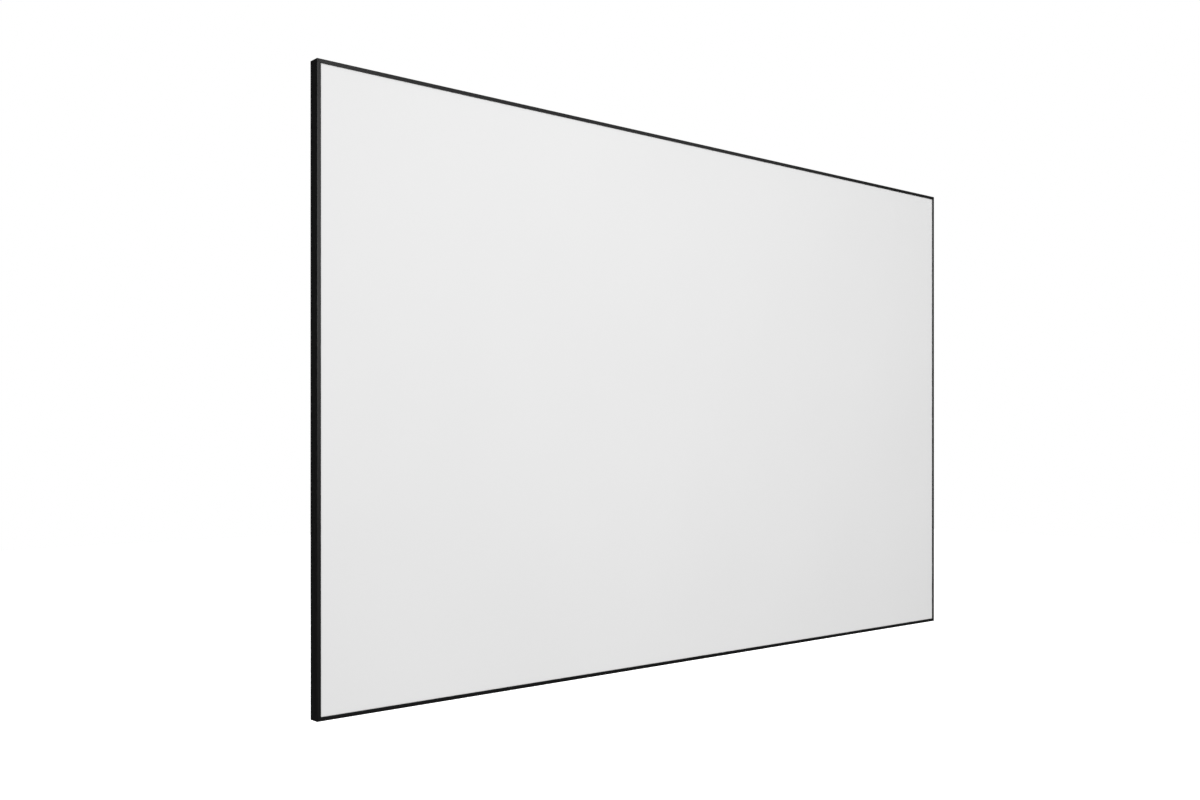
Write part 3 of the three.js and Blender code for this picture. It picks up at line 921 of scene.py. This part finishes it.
def tension_hook():
    """One hook of the top side, drawn with its middle at along 0 and the frame's outer edge at height 0."""
    bpy.ops.object.select_all(action="DESELECT")
    bpy.ops.mesh.primitive_circle_add(
        vertices=24,
        radius=hook_round,
        location=(-hook_width / 2, rod_y, -rod_in),
        rotation=(0, math.pi / 2, 0),
    )
    hook = bpy.context.object
    bpy.ops.object.transform_apply(location=True, rotation=True, scale=True)
    bpy.ops.object.mode_set(mode="EDIT")
    bpy.ops.mesh.select_mode(type="VERT")
    mesh = bmesh.from_edit_mesh(hook.data)
    mouth = []
    for vertex in mesh.verts:
        bearing = math.degrees(math.atan2(vertex.co.y - rod_y, -vertex.co.z - rod_in)) % 360
        if bearing < mouth_end or bearing > mouth_start:
            mouth.append(vertex)
    bmesh.ops.delete(mesh, geom=mouth, context="VERTS")
    end = min(mesh.verts, key=lambda v: (v.co.y, v.co.z))
    for vertex in mesh.verts:
        vertex.select = vertex is end
    mesh.select_history.clear()
    bmesh.update_edit_mesh(hook.data)
    over_the_rib = ((hook_rib_in - rod_in, 0), (hook_leg_in - hook_rib_in, 0))
    for inward, depth in (*over_the_rib, (0, -hook_leg), (-hook_foot, 0)):
        bpy.ops.mesh.extrude_region_move(TRANSFORM_OT_translate={"value": (0, depth, -inward)})
    bpy.ops.mesh.select_all(action="SELECT")
    bpy.ops.mesh.extrude_region_move(TRANSFORM_OT_translate={"value": (hook_width, 0, 0)})
    bpy.ops.object.mode_set(mode="OBJECT")
    thickened(hook, hook_wall)
    softened(hook, hook_edge)
    return hook


hook_pattern = tension_hook()
for side in sides:
    for number, along in enumerate(hook_places[side], start=1):
        hook = placed_copy(hook_pattern, f"moulded_hook_{side}_{number}", side_frame(side, along))
        dressed(hook, black_nylon)
        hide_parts(f"tension_hook_{side}_{number}")
bpy.data.objects.remove(hook_pattern)


# Edge trim. Satin black anodised aluminium, snapped over the cloth last of all. Its nine millimetre lip
# frames the picture and its side closes the depth of the screen. The long sides are in two halves with a
# hairline seam.
trim_black = black_anodised(
    "trim_black",
    dark=(0.0055, 0.0055, 0.0056),
    light=(0.0085, 0.0085, 0.0088),
    smoothest=0.28,
    roughest=0.36,
    relief=0.1,
)
finish_sides("edge_trim", trim_black)


# Wall brackets. Two millimetre steel, bent to a Z and bright zinc plated. The wide plate is screwed to the
# wall through two slots, and the frame's inner wall stands on the edge of the other leg.
bracket_wall, bracket_bend, bracket_corner, bracket_edge = 0.002, 0.002, 0.004, 0.0002
bracket_low, bracket_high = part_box("wall_bracket_top_left")
bracket_half = (bracket_high[0] - bracket_low[0]) / 2
leg_end, plate_end = half_height - bracket_high[2], half_height - bracket_low[2]
leg_length = 0.013
step_in, step_depth = leg_end + leg_length, -bracket_low[1] - bracket_wall
slot_line = (step_in + plate_end) / 2
slot_half, slot_radius, slot_from_middle = 0.00525, 0.00275, 0.022


def pick_edges(obj, wanted):
    """Selects the edges whose two ends pass the test, in edit mode, and nothing else."""
    bpy.ops.mesh.select_mode(type="EDGE")
    bpy.ops.mesh.select_all(action="DESELECT")
    mesh = bmesh.from_edit_mesh(obj.data)
    for edge in mesh.edges:
        if wanted(*[v.co for v in edge.verts]):
            edge.select = True
    mesh.select_flush_mode()
    bmesh.update_edit_mesh(obj.data)


def slot_cutter(along):
    """A bar with round ends that cuts one screw slot."""
    bpy.ops.object.select_all(action="DESELECT")
    bpy.ops.mesh.primitive_cylinder_add(
        vertices=32,
        radius=slot_radius,
        depth=5 * bracket_wall,
        location=(along, -bracket_wall / 2, -slot_line),
        rotation=(math.pi / 2, 0, 0),
    )
    cutter = bpy.context.object
    bpy.ops.object.transform_apply(location=True, rotation=True, scale=True)
    for vertex in cutter.data.vertices:
        vertex.co.x += math.copysign(slot_half, vertex.co.x - along)
    return cutter


def bent_bracket():
    """One bracket of the top side, drawn with the frame's outer edge at height 0."""
    bpy.ops.object.select_all(action="DESELECT")
    bpy.ops.mesh.primitive_plane_add(size=1, rotation=(math.pi / 2, 0, 0))
    bracket = bpy.context.object
    bracket.scale = (2 * bracket_half, plate_end - step_in, 1)
    bracket.location = (0, -bracket_wall / 2, -(plate_end + step_in) / 2)
    bpy.ops.object.transform_apply(location=True, rotation=True, scale=True)
    bpy.ops.object.mode_set(mode="EDIT")

    def at_step(*ends):
        return all(abs(end.z + step_in) < same_place for end in ends)

    pick_edges(bracket, at_step)
    bpy.ops.mesh.extrude_region_move(TRANSFORM_OT_translate={"value": (0, -step_depth, 0)})
    bpy.ops.mesh.extrude_region_move(TRANSFORM_OT_translate={"value": (0, 0, step_in - leg_end)})
    pick_edges(bracket, lambda a, b: at_step(a, b) and abs(a.y - b.y) < same_place)
    bpy.ops.mesh.bevel(offset=bracket_bend, segments=4, affect="EDGES")
    bpy.ops.mesh.select_mode(type="VERT")
    bpy.ops.mesh.select_all(action="DESELECT")
    mesh = bmesh.from_edit_mesh(bracket.data)
    for vertex in mesh.verts:
        at_side = abs(abs(vertex.co.x) - bracket_half) < same_place
        at_end = any(abs(vertex.co.z + end) < same_place for end in (plate_end, leg_end))
        vertex.select = at_side and at_end
    bmesh.update_edit_mesh(bracket.data)
    bpy.ops.mesh.bevel(offset=bracket_corner, segments=5, affect="VERTICES")
    bpy.ops.object.mode_set(mode="OBJECT")
    thickened(bracket, bracket_wall)
    for along in (-slot_from_middle, slot_from_middle):
        cut_away(bracket, slot_cutter(along))
    softened(bracket, bracket_edge)
    return bracket


bracket_pattern = bent_bracket()
for side in ("top", "bottom"):
    for place, x in zip(("left", "right"), middles(f"wall_bracket_{side}_", 0)):
        along = x if side == "top" else -x
        bracket = placed_copy(bracket_pattern, f"steel_bracket_{side}_{place}", side_frame(side, along))
        dressed(bracket, plate_zinc)
        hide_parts(f"wall_bracket_{side}_{place}")
bpy.data.objects.remove(bracket_pattern)
